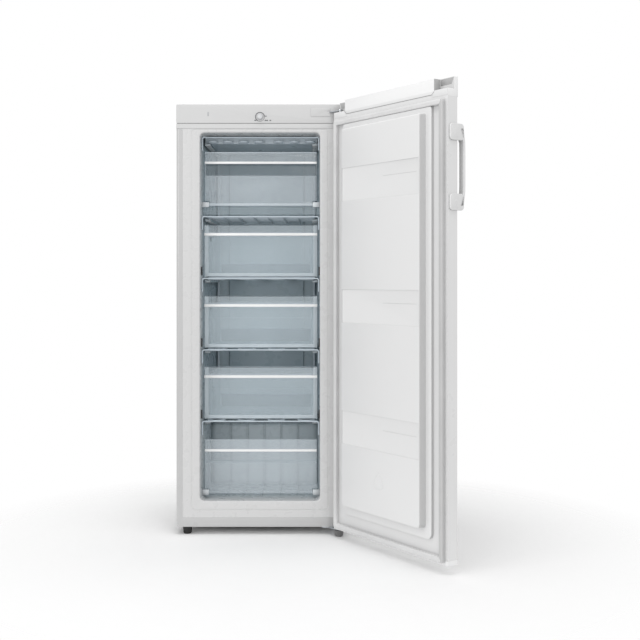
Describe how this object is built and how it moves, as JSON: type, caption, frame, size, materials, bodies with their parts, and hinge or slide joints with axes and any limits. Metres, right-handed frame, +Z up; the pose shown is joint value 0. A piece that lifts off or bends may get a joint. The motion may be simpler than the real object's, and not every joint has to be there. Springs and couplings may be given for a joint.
{
  "type": "upright freezer",
  "caption": "Upright freezer, its door open, with slide-out drawers, tilting flaps, tube-and-wire cold shelves and a compressor bay at the back.",
  "frame": {"origin": "on the floor, below the middle of the cabinet's front edge", "axes": "+X to the right seen from the front, +Y from the front to the back, +Z up"},
  "size_m": [0.8905, 1.0099, 1.42],
  "materials": {
    "cabinet_enamel": "white baked enamel, satin",
    "door_enamel": "white baked enamel, satin",
    "trim_plastic": "moulded, satin white",
    "handle_plastic": "moulded, satin white",
    "liner_plastic": "vacuum-formed, satin white",
    "drawer_plastic": "clear, with a blue tint",
    "seal_rubber": "soft light grey",
    "knob_plastic": "light grey",
    "plug_plastic": "grey",
    "black_foot": "black",
    "grey_foot": "mid grey",
    "tube_enamel": "white coated steel tube and wire",
    "foam": "rigid closed-cell foam",
    "zinc_sheet": "zinc-coated sheet",
    "bright_steel": "zinc-plated",
    "compressor_paint": "black stove paint",
    "copper": "bare copper",
    "grommet_rubber": "black",
    "relay_plastic": "black",
    "bush_plastic": "natural nylon"
  },
  "bodies": {
    "cabinet": {"side_panel_left": "cabinet_enamel", "side_panel_right": "cabinet_enamel", "back_panel": "zinc_sheet", "front_rail_top": "trim_plastic", "bottom_rail": "cabinet_enamel", "deck_panel": "zinc_sheet", "inner_liner": "liner_plastic", "foam_insulation": "foam", "control_fascia": "trim_plastic", "blanking_plug": "plug_plastic", "hinge_cover_plate": "trim_plastic", "top_lid": "trim_plastic", "thermostat_housing": "relay_plastic", "evaporator_shelf_one": "tube_enamel", "evaporator_shelf_two": "tube_enamel", "evaporator_shelf_three": "tube_enamel", "evaporator_shelf_four": "tube_enamel", "evaporator_ceiling": "tube_enamel", "evaporator_risers": "tube_enamel", "shelf_front_trim": "drawer_plastic", "shelf_supports": "liner_plastic", "flap_pivot_blocks": "liner_plastic", "top_hinge_bracket": "bright_steel", "bottom_hinge_bracket": "cabinet_enamel", "hinge_pins": "bright_steel", "hinge_screws": "bright_steel", "rear_feet": "black_foot", "base_tray": "zinc_sheet", "bay_shroud": "zinc_sheet", "compressor": "compressor_paint", "compressor_grommets": "grommet_rubber", "compressor_bolts": "bright_steel", "compressor_relay_box": "relay_plastic", "cord_gland": "relay_plastic", "condenser_pipe": "copper", "discharge_pipe": "copper", "filter_dryer": "copper", "capillary_pipe": "copper", "suction_pipe": "copper"},
    "door": {"door_skin": "door_enamel", "door_foam": "foam", "door_liner": "liner_plastic", "door_gasket": "seal_rubber", "door_top_cap": "trim_plastic", "door_bottom_cap": "trim_plastic", "door_handle": "handle_plastic", "door_handle_covers": "handle_plastic", "door_handle_screws": "bright_steel", "hinge_bushes": "bush_plastic"},
    "knob": {"thermostat_knob": "knob_plastic"},
    "flap_top": {"flap_top": "drawer_plastic"},
    "flap_bottom": {"flap_bottom": "drawer_plastic"},
    "foot_left": {"foot_front_left": "black_foot"},
    "foot_right": {"foot_front_right": "grey_foot"},
    "drawer_1": {"drawer_1_tub": "drawer_plastic", "drawer_1_front": "drawer_plastic"},
    "drawer_2": {"drawer_2_tub": "drawer_plastic", "drawer_2_front": "drawer_plastic"},
    "drawer_3": {"drawer_3_tub": "drawer_plastic", "drawer_3_front": "drawer_plastic"}
  },
  "joints": [
    {"name": "door_hinge", "type": "hinge", "parent": "cabinet", "child": "door", "pos_m": [0.2645, -0.03, 0.7], "axis": [0, 0, 1], "range_deg": [-125, 5]},
    {"name": "drawer_1_slide", "type": "slide", "parent": "cabinet", "child": "drawer_1", "axis": [0, -1, 0], "range_m": [0, 0.3]},
    {"name": "drawer_2_slide", "type": "slide", "parent": "cabinet", "child": "drawer_2", "axis": [0, -1, 0], "range_m": [0, 0.3]},
    {"name": "drawer_3_slide", "type": "slide", "parent": "cabinet", "child": "drawer_3", "axis": [0, -1, 0], "range_m": [0, 0.3]},
    {"name": "flap_top_hinge", "type": "hinge", "parent": "cabinet", "child": "flap_top", "pos_m": [0, 0.055, 1.092], "axis": [1, 0, 0], "range_deg": [0, 90]},
    {"name": "flap_bottom_hinge", "type": "hinge", "parent": "cabinet", "child": "flap_bottom", "pos_m": [0, 0.055, 0.13], "axis": [1, 0, 0], "range_deg": [0, 90]},
    {"name": "thermostat_turn", "type": "hinge", "parent": "cabinet", "child": "knob", "pos_m": [0, 0, 1.378], "axis": [0, 1, 0], "range_deg": [0, 300]},
    {"name": "foot_left_turn", "type": "hinge", "parent": "cabinet", "child": "foot_left", "pos_m": [-0.2415, 0.022, 0.013], "axis": [0, 0, 1], "continuous": true},
    {"name": "foot_right_turn", "type": "hinge", "parent": "cabinet", "child": "foot_right", "pos_m": [0.26, -0.018, 0.013], "axis": [0, 0, 1], "continuous": true}
  ]
}
